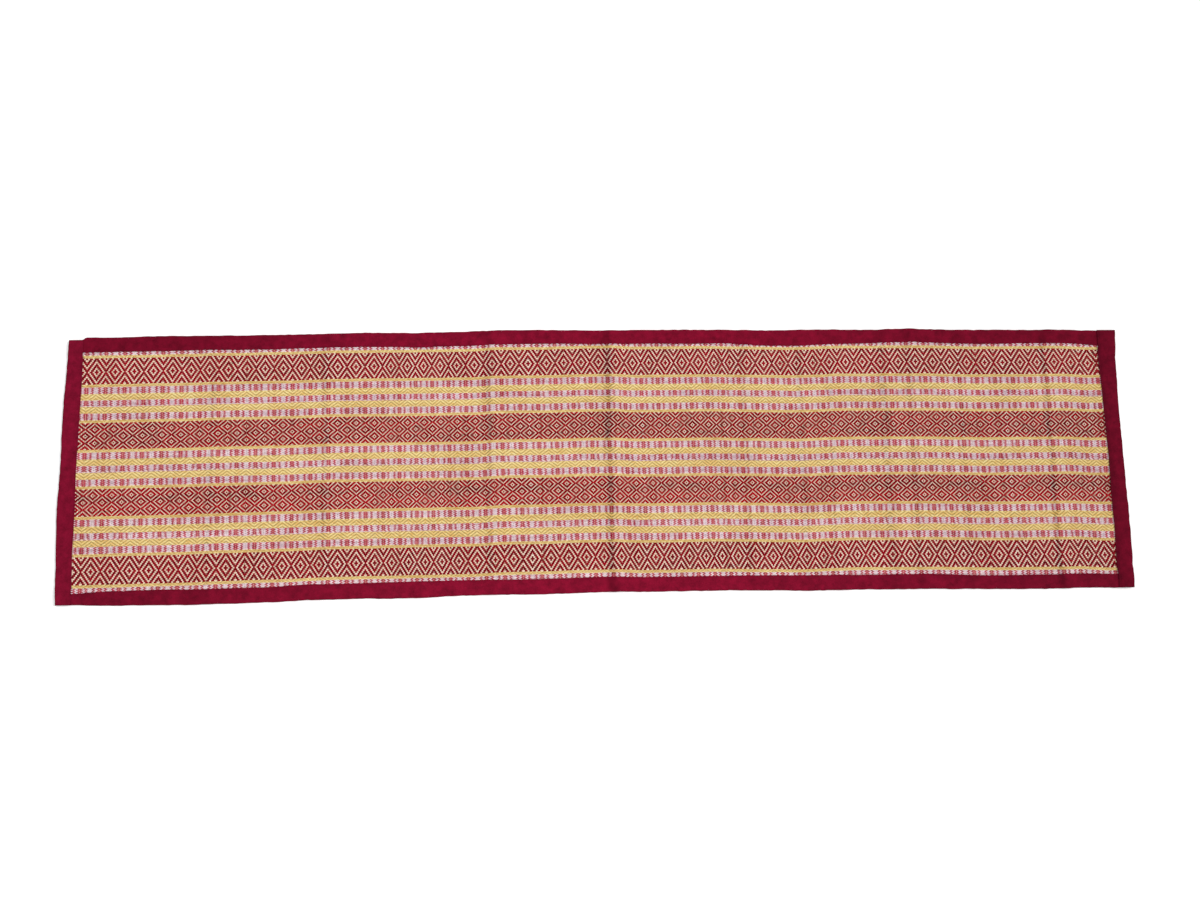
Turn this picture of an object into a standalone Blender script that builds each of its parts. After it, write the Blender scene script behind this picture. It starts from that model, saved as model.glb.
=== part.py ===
"""A long grass floor mat lying flat: one woven panel, bound on its four sides with folded cotton tape.

Metres, +Z up. The origin is on the floor under the middle of the mat. +X runs along the mat and +Y
across it, so "far" is the +Y side and "near" the -Y side. The tables are in millimetres.
"""

import math
from collections import namedtuple

import bmesh
import bpy

MM = 0.001

# Thicknesses of the cloth and of the tape that is folded round its sides
PANEL_THICK = 2.0
TAPE_THICK = 1.0
CLEARANCE = 0.3
FOLD_CHAMFER = 0.35

# One more layer of tape underneath lifts what lies on it by this much
LAYER = TAPE_THICK + CLEARANCE

# How far past a tape's inner edge the cloth stays lifted, and where it is down on the floor again
TAPE_MARGIN = 3.0
CORNER_TURN = 6.0
SETTLED = 14.0
END_TAPE_LINE = 891.0
END_FOLD_LINE = 918.0

INNER_COLUMNS = 5
STATION_SPACING = 5.0

# The two long sides: the fold of the tape and its inner edge, at places along the mat
EdgeRow = namedtuple("EdgeRow", "x far_fold far_tape near_tape near_fold")
EDGE_ROWS = [
    EdgeRow(-920, 220.5, 200.0, -213.0, -229.0),
    EdgeRow(-891, 220.5, 200.0, -213.0, -230.6),
    EdgeRow(-888, 224.3, 200.1, -213.0, -230.7),
    EdgeRow(-885, 225.6, 200.2, -213.0, -230.8),
    EdgeRow(-830, 225.8, 201.3, -209.6, -232.2),
    EdgeRow(-752, 227.6, 201.7, -208.2, -233.0),
    EdgeRow(-680, 227.1, 203.2, -208.4, -233.2),
    EdgeRow(-570, 228.2, 202.8, -207.0, -231.4),
    EdgeRow(-500, 228.8, 205.0, -203.5, -228.8),
    EdgeRow(-408, 230.6, 206.7, -202.5, -227.6),
    EdgeRow(-320, 229.6, 204.7, -201.5, -228.4),
    EdgeRow(-235, 231.2, 206.4, -199.8, -224.9),
    EdgeRow(-165, 233.2, 209.0, -200.5, -224.8),
    EdgeRow(-95, 233.2, 209.6, -200.2, -225.3),
    EdgeRow(5, 231.2, 208.1, -197.8, -222.6),
    EdgeRow(80, 232.0, 207.8, -199.8, -223.6),
    EdgeRow(221, 231.0, 207.3, -199.6, -223.4),
    EdgeRow(292, 229.3, 203.0, -200.0, -224.8),
    EdgeRow(345, 229.8, 201.8, -200.8, -226.4),
    EdgeRow(399, 230.3, 204.5, -200.9, -225.8),
    EdgeRow(470, 228.9, 205.4, -201.8, -225.7),
    EdgeRow(550, 230.6, 208.0, -201.2, -226.2),
    EdgeRow(614, 228.5, 204.3, -203.8, -227.5),
    EdgeRow(665, 227.6, 202.4, -205.8, -228.2),
    EdgeRow(762, 226.8, 203.2, -205.9, -229.7),
    EdgeRow(832, 226.3, 202.6, -205.2, -228.4),
    EdgeRow(885, 224.4, 198.9, -206.9, -229.3),
    EdgeRow(920, 223.6, 198.9, -206.9, -229.0),
]

# The two ends: the fold of the tape and its inner edge, at places across the mat
EndRow = namedtuple("EndRow", "y left_fold left_tape right_tape right_fold")
END_ROWS = [
    EndRow(-230, -913.6, -890.0, 891.5, 917.8),
    EndRow(-190, -917.2, -890.7, 891.5, 919.4),
    EndRow(-120, -918.8, -892.8, 892.5, 920.0),
    EndRow(-70, -920.0, -891.4, 891.1, 919.3),
    EndRow(-10, -917.9, -892.6, 892.0, 918.0),
    EndRow(40, -918.3, -891.4, 890.2, 916.5),
    EndRow(106, -917.4, -891.0, 889.4, 916.2),
    EndRow(166, -915.6, -888.6, 885.6, 917.0),
    EndRow(221, -912.0, -889.6, 886.2, 918.6),
]

# Low ridges left by folding and rolling: the crest's place, its height, the reach of its left and
# right flanks, and the share of the height at each long side
Crease = namedtuple("Crease", "x height left right far_share near_share")
CREASES = [
    Crease(-662, 2.2, 28, 10, 0.8, 0.9),
    Crease(-470, 2.0, 9, 26, 1.0, 0.5),
    Crease(-188, 3.2, 14, 22, 1.0, 0.6),
    Crease(21, 4.0, 13, 24, 1.0, 1.0),
    Crease(258, 1.6, 10, 18, 0.8, 0.7),
    Crease(354, 1.4, 9, 16, 1.0, 0.4),
    Crease(406, 1.6, 10, 14, 0.6, 0.8),
    Crease(511, 2.0, 22, 12, 0.8, 0.8),
    Crease(553, 2.2, 12, 14, 1.0, 0.4),
    Crease(638, 1.4, 9, 12, 0.7, 0.7),
    Crease(796, 3.2, 11, 26, 0.4, 1.0),
]


def read(rows, key, column, at):
    """The value of a table's column at a place between its rows, on straight lines."""
    for low, high in zip(rows, rows[1:]):
        start, end = getattr(low, key), getattr(high, key)
        if at <= end or high is rows[-1]:
            share = min(max((at - start) / (end - start), 0.0), 1.0)
            return getattr(low, column) * (1 - share) + getattr(high, column) * share


# A station is a line across the mat. It is straight, or it keeps a distance to a line of an end's tape.
Station = namedtuple("Station", "x follows offset")


def end_stations(side, sign):
    """The stations of one end's tape, from its fold inwards."""
    fold, tape = side + "_fold", side + "_tape"
    return {
        "fold": Station(sign * END_FOLD_LINE, fold, 0.0),
        "wall": Station(sign * END_FOLD_LINE, fold, -sign * TAPE_THICK),
        "rim": Station(sign * END_FOLD_LINE, fold, -sign * LAYER),
        "tape": Station(sign * END_TAPE_LINE, tape, 0.0),
        "margin": Station(sign * (END_TAPE_LINE - TAPE_MARGIN), tape, -sign * TAPE_MARGIN),
        "corner": Station(sign * (END_TAPE_LINE - CORNER_TURN), tape, -sign * CORNER_TURN),
        "settled": Station(sign * (END_TAPE_LINE - SETTLED), tape, -sign * SETTLED),
    }


def middle_stations():
    """The straight stations: five for each crease, and the rows of the edge table between them."""
    kept = []
    for crease in CREASES:
        kept += [crease.x - crease.left, crease.x - crease.left / 2, crease.x]
        kept += [crease.x + crease.right / 2, crease.x + crease.right]
    free = END_TAPE_LINE - SETTLED - STATION_SPACING
    for row in EDGE_ROWS:
        clear = all(abs(row.x - x) > STATION_SPACING for x in kept)
        if abs(row.x) < free and clear:
            kept.append(row.x)
    return [Station(x, None, 0.0) for x in sorted(kept)]


LEFT = end_stations("left", -1)
RIGHT = end_stations("right", 1)
LENGTHWISE = [LEFT[name] for name in ("rim", "tape", "margin", "corner", "settled")]
LENGTHWISE += middle_stations()
LENGTHWISE += [RIGHT[name] for name in ("settled", "corner", "margin", "tape", "rim")]

# A column is a line along the mat: its distance from the fold, or from the inner edge, of a side's tape
FAR_SIDE = ["far_fold", "far_wall", "far_rim", "far_tape", "far_margin", "far_settled"]
NEAR_SIDE = [name.replace("far", "near") for name in reversed(FAR_SIDE)]
INNER = [(n + 1) / (INNER_COLUMNS + 1) for n in range(INNER_COLUMNS)]
COLUMNS = FAR_SIDE + INNER + NEAR_SIDE
PANEL_COLUMNS = COLUMNS[2:-2]
RAISED_COLUMNS = set(FAR_SIDE[:-1] + NEAR_SIDE[1:])


def across(station, column):
    """How far across the mat a column lies at a station."""
    if isinstance(column, float):
        far, near = across(station, "far_settled"), across(station, "near_settled")
        return far * (1 - column) + near * column
    side, place = column.split("_")
    inward = -1 if side == "far" else 1
    fold = read(EDGE_ROWS, "x", side + "_fold", station.x)
    tape = read(EDGE_ROWS, "x", side + "_tape", station.x)
    return {
        "fold": fold,
        "wall": fold + inward * TAPE_THICK,
        "rim": fold + inward * LAYER,
        "tape": tape,
        "margin": tape + inward * TAPE_MARGIN,
        "settled": tape + inward * SETTLED,
    }[place]


def along(station, y):
    """How far along the mat a station lies at a place across it."""
    if station.follows is None:
        return station.x
    return read(END_ROWS, "y", station.follows, y) + station.offset


def ridge(station, y):
    """Height that the creases give the cloth at a station."""
    height = 0.0
    for crease in CREASES:
        flank = crease.left if station.x < crease.x else crease.right
        off = abs(station.x - crease.x) / flank
        if off < 1.0:
            far = read(EDGE_ROWS, "x", "far_fold", station.x)
            near = read(EDGE_ROWS, "x", "near_fold", station.x)
            share = (far - y) / (far - near)
            side = crease.far_share * (1 - share) + crease.near_share * share
            height += crease.height * side * 0.5 * (1 + math.cos(math.pi * off))
    return height


def over_end_tape(station):
    """1 where an end's tape lies underneath, down to 0 where the cloth has settled."""
    past = abs(station.x) - (END_TAPE_LINE - SETTLED)
    return min(max(past / (SETTLED - TAPE_MARGIN), 0.0), 1.0)


def over_long_tape(column):
    """1 where a long side's tape lies underneath, and 0 elsewhere."""
    return 1.0 if column in RAISED_COLUMNS else 0.0


def panel_base(station, column, y):
    """Underside of the woven panel."""
    layers = over_end_tape(station) + over_long_tape(column)
    return LAYER * layers + ridge(station, y)


def point(station, column, height):
    """A corner of a solid, in metres, from a height that is measured in millimetres."""
    y = across(station, column)
    return (along(station, y) * MM, y * MM, height * MM)


def material(name, colour, roughness):
    """A plain matt material. The colour is linear."""
    made = bpy.data.materials.new(name)
    made.use_nodes = True
    shader = made.node_tree.nodes["Principled BSDF"]
    shader.inputs["Base Color"].default_value = (*colour, 1.0)
    shader.inputs["Roughness"].default_value = roughness
    shader.inputs["Metallic"].default_value = 0.0
    return made


def solid(name, points, faces, finish):
    """One closed body from its points and faces, as an object of its own."""
    mesh = bpy.data.meshes.new(name)
    shape = bmesh.new()
    corners = [shape.verts.new(p) for p in points]
    for face in faces:
        shape.faces.new([corners[i] for i in face])
    bmesh.ops.recalc_face_normals(shape, faces=shape.faces)
    shape.to_mesh(mesh)
    shape.free()
    mesh.materials.append(finish)
    made = bpy.data.objects.new(name, mesh)
    bpy.context.scene.collection.objects.link(made)
    return made


def woven_panel():
    """The woven cloth: a thin sheet that dips off the tape onto the floor and rises at its creases."""
    rows, columns = len(LENGTHWISE), len(PANEL_COLUMNS)
    points = []
    for thickness in (0.0, PANEL_THICK):
        for station in LENGTHWISE:
            for column in PANEL_COLUMNS:
                base = panel_base(station, column, across(station, column))
                points.append(point(station, column, base + thickness))

    def at(layer, row, column):
        return (layer * rows + row) * columns + column

    faces = []
    for layer in (0, 1):
        for r in range(rows - 1):
            for c in range(columns - 1):
                corners = [(r, c), (r + 1, c), (r + 1, c + 1), (r, c + 1)]
                faces.append([at(layer, *corner) for corner in corners])
    rim = [(r, 0) for r in range(rows)]
    rim += [(rows - 1, c) for c in range(1, columns)]
    rim += [(r, columns - 1) for r in range(rows - 2, -1, -1)]
    rim += [(0, c) for c in range(columns - 2, 0, -1)]
    for here, following in zip(rim, rim[1:] + rim[:1]):
        faces.append([at(0, *here), at(0, *following), at(1, *following), at(1, *here)])
    finish = material("woven_grass_and_dyed_yarn", (0.60, 0.36, 0.21), 0.75)
    return solid("woven_panel", points, faces, finish)


# A folded tape's section has ten corners, numbered round it from the inner edge of its lower leg
LOWER_LEG = [0, 1, 8, 9]
FOLD = [1, 2, 3, 4, 7, 8]
UPPER_LEG = [4, 5, 6, 7]


def folded_tape(name, sections, finish):
    """A tape folded over an edge: its sections joined in order, and closed at both ends."""
    size = len(sections[0])
    points = [corner for section in sections for corner in section]
    faces = []
    for s in range(len(sections) - 1):
        for c in range(size):
            following = (c + 1) % size
            low, high = s * size, (s + 1) * size
            faces.append([low + c, low + following, high + following, high + c])
    for start in (0, (len(sections) - 1) * size):
        for flat in (LOWER_LEG, FOLD, UPPER_LEG):
            faces.append([start + c for c in flat])
    return solid(name, points, faces, finish)


def section(lower, upper, fold, wall, leg):
    """The ten corners of a folded tape's section.

    lower and upper give a leg's underside at "tape" and at "fold". fold, wall and leg each make a
    corner from a height, and fold also takes how far the corner is drawn in by the chamfer.
    """
    bottom, top = lower["fold"], upper["fold"] + TAPE_THICK
    return [
        leg(lower["tape"]),
        fold(bottom, FOLD_CHAMFER),
        fold(bottom + FOLD_CHAMFER, 0.0),
        fold(top - FOLD_CHAMFER, 0.0),
        fold(top, FOLD_CHAMFER),
        leg(upper["tape"] + TAPE_THICK),
        leg(upper["tape"]),
        wall(upper["fold"]),
        wall(lower["fold"] + TAPE_THICK),
        leg(lower["tape"] + TAPE_THICK),
    ]


def long_binding(side, finish):
    """The tape on a long side. Its two ends are held under the tapes of the mat's ends."""
    inward = -1 if side == "far" else 1
    sections = []
    for station in LENGTHWISE:
        lower, upper = {}, {}
        for place in ("fold", "tape"):
            y = across(station, side + "_" + place)
            lower[place] = LAYER * over_end_tape(station) + ridge(station, y)
            panel_top = panel_base(station, side + "_" + place, y) + PANEL_THICK
            upper[place] = panel_top + CLEARANCE

        def fold(height, drawn_in, station=station):
            x, y, z = point(station, side + "_fold", height)
            return (x, y + inward * drawn_in * MM, z)

        def wall(height, station=station):
            return point(station, side + "_wall", height)

        def leg(height, station=station):
            return point(station, side + "_tape", height)

        sections.append(section(lower, upper, fold, wall, leg))
    return folded_tape(side + "_edge_binding", sections, finish)


def end_binding(side, stations, finish):
    """The tape on an end. It covers the panel and the ends of both long tapes."""
    inward = 1 if side == "left" else -1
    sections = []
    for column in COLUMNS:
        lower, upper = {}, {}
        for place in ("fold", "tape"):
            y = across(stations[place], column)
            panel_top = panel_base(stations[place], column, y) + PANEL_THICK
            lower[place] = 0.0
            upper[place] = panel_top + CLEARANCE + LAYER * over_long_tape(column)

        def fold(height, drawn_in, column=column):
            x, y, z = point(stations["fold"], column, height)
            return (x + inward * drawn_in * MM, y, z)

        def wall(height, column=column):
            return point(stations["wall"], column, height)

        def leg(height, column=column):
            return point(stations["tape"], column, height)

        sections.append(section(lower, upper, fold, wall, leg))
    return folded_tape(side + "_end_binding", sections, finish)


def main():
    for old in list(bpy.data.objects):
        bpy.data.objects.remove(old, do_unlink=True)
    woven_panel()
    for side in ("far", "near"):
        long_binding(side, material(side + "_cotton_tape", (0.226, 0.006, 0.020), 0.85))
    for side, stations in (("left", LEFT), ("right", RIGHT)):
        end_binding(side, stations, material(side + "_cotton_tape", (0.175, 0.004, 0.018), 0.85))


main()
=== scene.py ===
# %% [markdown]
# # A grass floor mat, woven and bound
# The mat is a long cloth of dried grass reeds. The reeds are the weft and lie across the mat. Dyed
# cotton yarns are the warp, run along it and hold the reeds. Folded cotton tape is sewn round its sides.
#
# The CAD model already has the sheet and the four tapes as smooth solids. This script measures them and
# puts the real cloth in their place: every reed, every yarn that lies on top, and the tapes' folds.
# Tables and lengths are in millimetres, and become metres only where a mesh is made.

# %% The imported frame
import math
from collections import namedtuple

import bpy
import numpy as np
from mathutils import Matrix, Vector
from mathutils.bvhtree import BVHTree


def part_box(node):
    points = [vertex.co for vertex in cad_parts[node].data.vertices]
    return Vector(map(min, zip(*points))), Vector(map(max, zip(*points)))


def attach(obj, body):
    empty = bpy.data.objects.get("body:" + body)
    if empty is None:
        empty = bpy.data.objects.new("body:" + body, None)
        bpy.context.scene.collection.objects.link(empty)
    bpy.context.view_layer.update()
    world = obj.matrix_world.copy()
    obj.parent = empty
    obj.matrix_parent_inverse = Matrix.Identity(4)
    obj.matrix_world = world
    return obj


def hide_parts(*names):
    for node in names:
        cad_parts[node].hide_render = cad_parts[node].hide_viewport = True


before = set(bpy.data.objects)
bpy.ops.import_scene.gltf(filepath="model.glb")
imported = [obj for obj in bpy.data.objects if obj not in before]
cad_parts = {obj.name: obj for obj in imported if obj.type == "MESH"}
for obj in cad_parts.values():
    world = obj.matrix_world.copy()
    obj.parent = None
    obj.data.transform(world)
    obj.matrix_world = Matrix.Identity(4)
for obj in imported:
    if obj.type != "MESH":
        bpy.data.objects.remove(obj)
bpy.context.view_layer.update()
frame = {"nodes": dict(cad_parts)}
MM = 0.001
print("CAD nodes:", ", ".join(frame["nodes"]))

# %% [markdown]
# ## The camera
# The photograph looks straight down from about 1.7 m, a little from the near side, so the mat's left
# end is slightly larger than its right one. A 30 mm lens on a 36 mm sensor gives that perspective. The
# place and the turn come from fitting the mat's four corners to the photograph.

# %% Camera
def placed(name, data):
    """A new object in the scene, with its data."""
    made = bpy.data.objects.new(name, data)
    bpy.context.scene.collection.objects.link(made)
    return made


camera = placed("camera", bpy.data.cameras.new("camera"))
camera.data.lens = 30.0
camera.data.sensor_width = 36.0
camera.location = (-0.0575, -0.188, 1.7174)
camera.rotation_euler = [math.radians(turn) for turn in (6.95, -1.772, -0.879)]
bpy.context.scene.camera = camera
bpy.context.scene.view_settings.view_transform = "Standard"
print("camera height, m:", round(camera.location.z, 3))

# %% [markdown]
# ## Measuring the CAD with rays
# Each piece has to lie where its solid lies. The solids could be copied and changed, but their few
# large faces say nothing about yarn or reeds. It is simpler to ask them where they are: a ray cast at a
# solid gives one point of its surface, and a row of rays gives a whole outline.

# %% Rays
DOWN, UP = Vector((0, 0, -1)), Vector((0, 0, 1))
RAY_START = 60.0


def tree_of(node):
    """A search tree that rays can be cast at, from the mesh of one CAD node."""
    mesh = frame["nodes"][node].data
    corners = [vertex.co for vertex in mesh.vertices]
    return BVHTree.FromPolygons(corners, [tuple(face.vertices) for face in mesh.polygons])


def hit(tree, start, direction):
    """Where a ray meets the CAD, in millimetres, or None if it misses."""
    found = tree.ray_cast(Vector(start) * MM, direction)[0]
    return None if found is None else found / MM


panel_tree = tree_of("woven_panel")
print("top of the cloth in the middle, mm:", round(hit(panel_tree, (0, 0, RAY_START), DOWN).z, 2))

# %% [markdown]
# ## The outline of each tape
# A tape is folded over a side of the cloth. At a place along it, two level rays find its fold and the
# inner edge of its upper leg, and three upright ones find how high its two legs lie. The heights are
# then smoothed over a few millimetres, because tape bends softly where the CAD has a corner.

# %% Tape outlines
TAPE_STATION = 3.0

# The rays of a station go down on the middle of the tape's upper leg, level at the fold and the inner
# edge this far below that, and upright again near both. At the tape's ends they go in just beside.
ON_UPPER_LEG = 16.0
OVER_THE_CLOTH = 90.0
FOLD_LEVEL, EDGE_LEVEL = 1.8, 0.5
UNDER_FOLD, OVER_FOLD, OVER_EDGE = 4, 2, 1
INSIDE_END = 1.5

# Each tape's CAD node, the axis that it runs along, 0 for X or 1 for Y, and whether its fold lies towards
# + or - of the other one. The solids' inner edges were read from the photograph at the level of the
# cloth. The tape's top is 2 to 3 mm above that and stands off the yarns, so it shows further in.
Tape = namedtuple("Tape", "node axis outward stands_in")
TAPES = {
    "far": Tape("far_edge_binding", 0, 1, 1.4),
    "near": Tape("near_edge_binding", 0, -1, 1.0),
    "left": Tape("left_end_binding", 1, -1, 2.4),
    "right": Tape("right_end_binding", 1, 1, 1.4),
}
Outline = namedtuple("Outline", "at fold edge low high_fold high_edge")


def turned(axis, along, across, height):
    """X, Y and Z of a place along and across a tape that runs along an axis, 0 for X or 1 for Y."""
    return (along, across, height) if axis == 0 else (across, along, height)


def smoothed(values, rounds=1):
    """A row of values, each mixed with its neighbours. The two ends stay as they are."""
    values = np.array(values, float)
    for _ in range(rounds):
        values[1:-1] = (values[:-2] + 2 * values[1:-1] + values[2:]) / 4
    return values


def tape_outline(node, axis, outward, stands_in):
    """The outline of a tape, station by station along it."""
    tree = tree_of(node)
    low, high = (corner[axis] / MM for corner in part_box(node))
    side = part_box(node)[1 if outward > 0 else 0][1 - axis] / MM
    out = Vector(turned(axis, 0, outward, 0))

    def cast(along, across, height, direction):
        """Where a ray meets the tape, at a place along it or just inside its end."""
        along = min(max(along, low + INSIDE_END), high - INSIDE_END)
        return hit(tree, turned(axis, along, across, height), direction)

    rows = []
    for at in np.linspace(low, high, round((high - low) / TAPE_STATION)):
        crown = cast(at, side - outward * ON_UPPER_LEG, RAY_START, DOWN).z
        fold = cast(at, side + outward * RAY_START, crown - FOLD_LEVEL, -out)[1 - axis]
        edge = cast(at, side - outward * OVER_THE_CLOTH, crown - EDGE_LEVEL, out)[1 - axis]
        low_z = cast(at, fold - outward * UNDER_FOLD, -RAY_START, UP).z
        fold_z = cast(at, fold - outward * OVER_FOLD, RAY_START, DOWN).z
        edge_z = cast(at, edge + outward * OVER_EDGE, RAY_START, DOWN).z
        rows.append((at, fold, edge, low_z, fold_z, edge_z))
    at, fold, edge, *heights = np.array(rows).T
    edge = edge - outward * stands_in
    return Outline(at, fold, edge, *(smoothed(height, 3) for height in heights))


outlines = {side: tape_outline(*tape) for side, tape in TAPES.items()}
for side, outline in outlines.items():
    width, height = np.abs(outline.fold - outline.edge), outline.high_fold.max()
    print(f"{side} tape, mm: {width.min():.1f} to {width.max():.1f} wide, {height:.1f} high")


def line_of(side, column, at):
    """One line of a tape's outline, such as its edge, read at places along it."""
    outline = outlines[side]
    return np.interp(at, outline.at, getattr(outline, column))


# %% [markdown]
# ## The height of the cloth
# The cloth dips off the tape at its rim, lies on the floor, and rises at the creases left from rolling
# and folding it. A grid of rays reads that. On top of it the whole mat is slightly rippled, as reeds
# spring back unevenly. Those ripples are smooth random hills, long across the mat and short along it.
# A noise texture could shade them, but real height also moves the yarns and their shadows.

# %% Random hills
CELLS = 512


def blended(grid, i, j, s, t):
    """A value inside a cell of a grid, at the shares s and t of the cell, from its four corners."""
    lower = grid[i, j] * (1 - s) + grid[i + 1, j] * s
    upper = grid[i, j + 1] * (1 - s) + grid[i + 1, j + 1] * s
    return lower * (1 - t) + upper * t


def hills(x, y, reach_x, reach_y, seed):
    """Smooth random values from -1 to 1, with about one hill or hollow in each reach."""
    heights = np.random.default_rng(seed).uniform(-1, 1, (CELLS, CELLS))
    across, along = np.asarray(x) / reach_x + CELLS / 2, np.asarray(y) / reach_y + CELLS / 2
    i, j = np.floor(across).astype(int) % (CELLS - 1), np.floor(along).astype(int) % (CELLS - 1)
    s, t = across % 1, along % 1
    return blended(heights, i, j, s * s * (3 - 2 * s), t * t * (3 - 2 * t))


print("hills, at steps of 10 mm:", hills(np.arange(0, 60, 10), 0, 13, 120, seed=3).round(2))

# %% Cloth height
GRID = 4.0
grid_x = np.arange(-928, 929, GRID)
grid_y = np.arange(-240, 241, GRID)


def panel_heights():
    """Height of the CAD cloth's top over a grid. Places beside it take the height next to them."""
    rows = []
    for x in grid_x:
        found = [hit(panel_tree, (x, y, RAY_START), DOWN) for y in grid_y]
        known = [(y, point.z) for y, point in zip(grid_y, found) if point is not None]
        rows.append(np.interp(grid_y, *zip(*known)) if known else None)
    inside = [i for i, row in enumerate(rows) if row is not None]
    first, last = inside[0], inside[-1]
    return np.array([rows[min(max(i, first), last)] for i in range(len(rows))])


panel_top = smoothed(smoothed(panel_heights()).T).T

# Short ripples lie on long ones: how they lean, their reach along and across the mat, and their seed.
# Together they rise to twice this height.
RIPPLES = [(0.06, 13, 120, 3), (-0.04, 37, 170, 4)]
RIPPLE = 0.3


def rippled(x, y):
    """Height of the ripples, never below the CAD's own surface."""
    height = 1.0
    for lean, reach_x, reach_y, seed in RIPPLES:
        height = height + 0.5 * hills(x + lean * y, y, reach_x, reach_y, seed)
    return RIPPLE * height


def cloth_top(x, y):
    """Height of the cloth's top at places on the mat."""
    across = np.clip((x - grid_x[0]) / GRID, 0, len(grid_x) - 1.001)
    along = np.clip((y - grid_y[0]) / GRID, 0, len(grid_y) - 1.001)
    i, j = across.astype(int), along.astype(int)
    return blended(panel_top, i, j, across - i, along - j) + rippled(x, y)


print("cloth top, mm:", panel_top.min().round(2), "to", panel_top.max().round(2))

# %% [markdown]
# ## Creases
# The mat was kept rolled and folded, and each crease has stood up. Its left flank faces away from the
# lamp and gets painted shade, darker than its height alone would make it. That is kept as one number at
# each place, which darkens reeds, yarns and tapes alike.

# %% Crease shade
# Each crease's place, its width and how much painted shade its left flank gets
Crease = namedtuple("Crease", "x width dust")
CREASES = [
    Crease(-666, 5, 0.25), Crease(-474, 4, 0.25), Crease(-194, 5, 0.38), Crease(14, 6, 0.75),
    Crease(252, 4, 0.2), Crease(350, 4, 0.2), Crease(402, 4, 0.2), Crease(499, 6, 0.3),
    Crease(546, 5, 0.3), Crease(634, 4, 0.25), Crease(788, 4, 0.7),
]

# A crease isn't quite straight. It also swings to the left on the far tape, and to the right on the
# near one.
CREASE_WANDER = 2.0
SWING_Y, SWING_X = (-225, -195, 190, 215), (5.5, 2.0, 0.0, -3.4)
PATCH_MEAN, PATCH_SPREAD = 0.8, 0.35


def crease_painted_shade(x, y, wider=1.0):
    """How much painted shade a place gets, from 0 to 1, strongest along the middle of each crease's left
    flank.
    """
    dust = 0.0
    for number, crease in enumerate(CREASES):
        line = crease.x + CREASE_WANDER * hills(y, number, 60, 1, seed=8) + np.interp(y, SWING_Y, SWING_X)
        dust = dust + crease.dust * np.exp(-(((x - line) / (crease.width * wider)) ** 2))
    patches = PATCH_MEAN + PATCH_SPREAD * hills(x, y, 5, 14, seed=9)
    return np.clip(dust * patches, 0, 1)


print("creases:", len(CREASES))


# %% [markdown]
# ## From the loom to the mat
# On the loom, reeds and yarns are straight and numbered. On the floor they aren't: the reeds are packed
# more closely in some places, and the stripes bend by a centimetre over the mat's length. So each place
# is first named by its reed's number and its stripe's distance from the middle, and one function turns
# that into a place on the mat. Reeds and yarns all go through it, so they bend together.

# %% Loom to mat
HALF_LENGTH = 914.0
HALF_WIDTH = 230.0

# Reeds in one repeat of the pattern
REPEAT = 16

# Repeats of the pattern, counted along the mat, and where the middle of each lies
REPEAT_PLACES = [
    (-3, -926), (0, -830), (3, -733), (7, -606), (11, -482), (14, -388), (19, -246), (22, -153),
    (24, -90), (26, -29), (28, 31), (31, 118), (33, 176), (35, 231), (37, 291), (41, 407),
    (43, 466), (45, 530), (49, 652), (52, 748), (56, 869), (59, 960),
]

# Places along the mat, and how far the stripes have bent there, at the far and at the near side
BENDS = [
    (-916, -11.0, -13.0), (-856, -10.0, -12.5), (-696, -8.5, -10.5), (-656, -7.5, -9.5),
    (-536, -6.5, -7.5), (-456, -4.5, -5.0), (-336, -4.5, -4.0), (-216, -4.0, -3.5), (-176, -1.5, -1.5),
    (-96, -1.5, -1.0), (-16, 0.0, 0.5), (24, -0.5, 0.5), (64, -2.5, -1.5), (184, -2.0, -1.0),
    (344, -6.0, -4.5), (424, -3.5, -2.0), (584, -4.5, -3.5), (664, -7.0, -6.0), (824, -7.0, -6.5),
    (864, -9.5, -9.0), (924, -10.0, -9.5),
]
REPEATS, PLACES = zip(*REPEAT_PLACES)

# The reeds lean by this share of their length, and neither they nor the yarns are quite straight
LEAN = -0.0145
REED_WANDER = 0.45
YARN_WANDER = 0.35


def reed_x(reed):
    """Where a reed crosses the mat's long middle line."""
    return np.interp(np.asarray(reed) / REPEAT, REPEATS, PLACES)


def reed_number(x):
    """The number of the reed at a place along the middle line."""
    return np.interp(x, PLACES, REPEATS) * REPEAT


def leaning(x, y):
    """X at a place y of the reed that crosses the middle line at x."""
    return x + LEAN * y + REED_WANDER * hills(x, y, 31, 26, seed=6)


def bend_at(x, share):
    """How far a stripe has bent at x. Its share is 0 at the near side of the mat and 1 at the far one."""
    at, far, near = zip(*BENDS)
    return np.interp(x, at, far) * share + np.interp(x, at, near) * (1 - share)


def on_mat(reed, line):
    """The place on the mat where a reed crosses a line that is so far from the middle."""
    x = reed_x(reed)
    bend = bend_at(x, (np.asarray(line) / HALF_WIDTH + 1) / 2)
    y = line + bend + YARN_WANDER * hills(x, line, 23, 19, seed=5)
    return leaning(x, y), y


FIRST_REED = math.ceil(reed_number(-HALF_LENGTH))
LAST_REED = math.floor(reed_number(HALF_LENGTH))
REED_COUNT = LAST_REED - FIRST_REED + 1
print("reeds:", REED_COUNT, "spacing, mm:", round(2 * HALF_LENGTH / REED_COUNT, 2))

# %% [markdown]
# ## Colours and nodes
# Colours are written as they look on a screen, as sRGB hex values. Shaders work with linear light, so
# one function converts them. Another one adds a node, sets it up and links what goes into it, and a few
# short ones use that for the nodes that come up again and again.

# %% Material helpers
def colour(code):
    """An sRGB hex colour as the linear colour that a shader takes."""
    parts = [int(code[place : place + 2], 16) / 255 for place in (1, 3, 5)]
    linear = [part / 12.92 if part <= 0.04045 else ((part + 0.055) / 1.055) ** 2.4 for part in parts]
    return (*linear, 1.0)


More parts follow.
